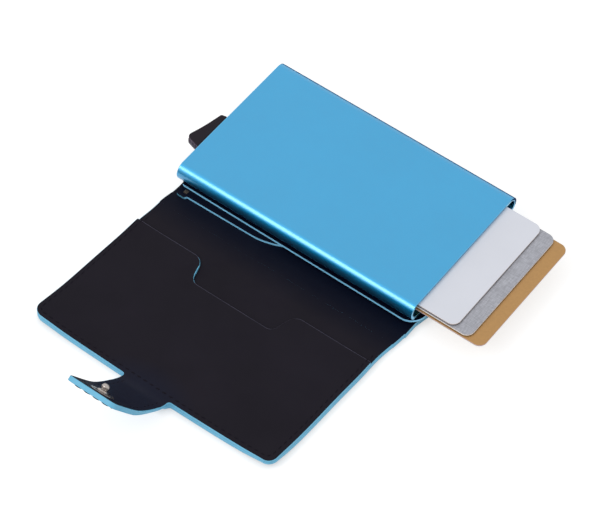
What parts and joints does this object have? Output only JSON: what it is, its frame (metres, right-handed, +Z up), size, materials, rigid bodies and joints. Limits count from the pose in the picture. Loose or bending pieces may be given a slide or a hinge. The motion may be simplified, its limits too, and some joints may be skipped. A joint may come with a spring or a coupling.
{
  "type": "pop up card holder",
  "caption": "Flat aluminium card case with an ejector lever that fans its cards out in steps, fixed on a folding leather cover with a snap strap.",
  "frame": {"origin": "on the underside of the rear cover, below the middle of the aluminium case", "axes": "+X along the case from its lever end to its open mouth, +Y away from the open flap, +Z up out of the table"},
  "size_m": [0.1385, 0.1688, 0.0333],
  "materials": {
    "blue_aluminium": "anodised, fine matte blast",
    "black_plastic": "moulded, satin",
    "steel": "nickel plated",
    "spring_steel": "rolled",
    "felt": "felt",
    "white_card": "laminated, smooth",
    "silver_card": "brushed silver laminate",
    "gold_card": "gold laminate",
    "adhesive": "foam tape",
    "black_leather": "smooth, slight sheen",
    "blue_leather": "fine grain, painted edges"
  },
  "bodies": {
    "rear": {"rear_cover": "blue_leather", "rear_lining": "black_leather", "slip_pocket_panel": "black_leather", "case_panel": "black_leather", "adhesive_pad": "adhesive", "case_shell": "blue_aluminium", "end_cap": "black_plastic", "pivot_pin": "steel", "pivot_washer": "steel", "stack_spring": "spring_steel", "grip_strip_front": "felt", "grip_strip_back": "felt", "snap_socket": "steel"},
    "lever": {"ejector_lever": "black_plastic"},
    "white_card": {"card_white": "white_card"},
    "silver_card": {"card_silver": "silver_card"},
    "gold_card": {"card_gold": "gold_card"},
    "spine": {"spine_cover": "blue_leather", "spine_lining": "black_leather"},
    "flap": {"flap_cover": "blue_leather", "flap_lining": "black_leather", "flap_pocket": "black_leather"},
    "strap_neck": {"strap_neck_cover": "blue_leather", "strap_neck_lining": "black_leather"},
    "strap_end": {"strap_end_cover": "blue_leather", "strap_end_lining": "black_leather", "snap_stud": "steel", "stud_cap": "steel"}
  },
  "joints": [
    {"name": "spine_fold", "type": "hinge", "parent": "rear", "child": "spine", "pos_m": [0, -0.03555, 0.0024], "axis": [-1, 0, 0], "range_deg": [0, 90]},
    {"name": "flap_fold", "type": "hinge", "parent": "spine", "child": "flap", "pos_m": [0, -0.0476, 0.0024], "axis": [-1, 0, 0], "range_deg": [0, 88.5]},
    {"name": "strap_neck_bend", "type": "hinge", "parent": "flap", "child": "strap_neck", "pos_m": [-0.0056, -0.11548, 0.00656], "axis": [-1, 0, 0], "range_deg": [-25, 43.1]},
    {"name": "strap_end_bend", "type": "hinge", "parent": "strap_neck", "child": "strap_end", "pos_m": [-0.0056, -0.12422, 0.01641], "axis": [-1, 0, 0], "range_deg": [-25, 80.4]},
    {"name": "lever_turn", "type": "hinge", "parent": "rear", "child": "lever", "pos_m": [-0.0435, -0.02515, 0.00865], "axis": [0, 0, 1], "range_deg": [0, 41]},
    {"name": "white_slide", "type": "slide", "parent": "rear", "child": "white_card", "axis": [-1, 0, 0], "range_m": [0, 0.01588]},
    {"name": "silver_slide", "type": "slide", "parent": "rear", "child": "silver_card", "axis": [-1, 0, 0], "range_m": [0, 0.02205]},
    {"name": "gold_slide", "type": "slide", "parent": "rear", "child": "gold_card", "axis": [-1, 0, 0], "range_m": [0, 0.02769]}
  ],
  "couplings": [
    {"joint": "white_slide", "follows": "lever_turn", "m_per_rad": 0.022178},
    {"joint": "silver_slide", "follows": "lever_turn", "m_per_rad": 0.0308},
    {"joint": "gold_slide", "follows": "lever_turn", "m_per_rad": 0.038682}
  ]
}
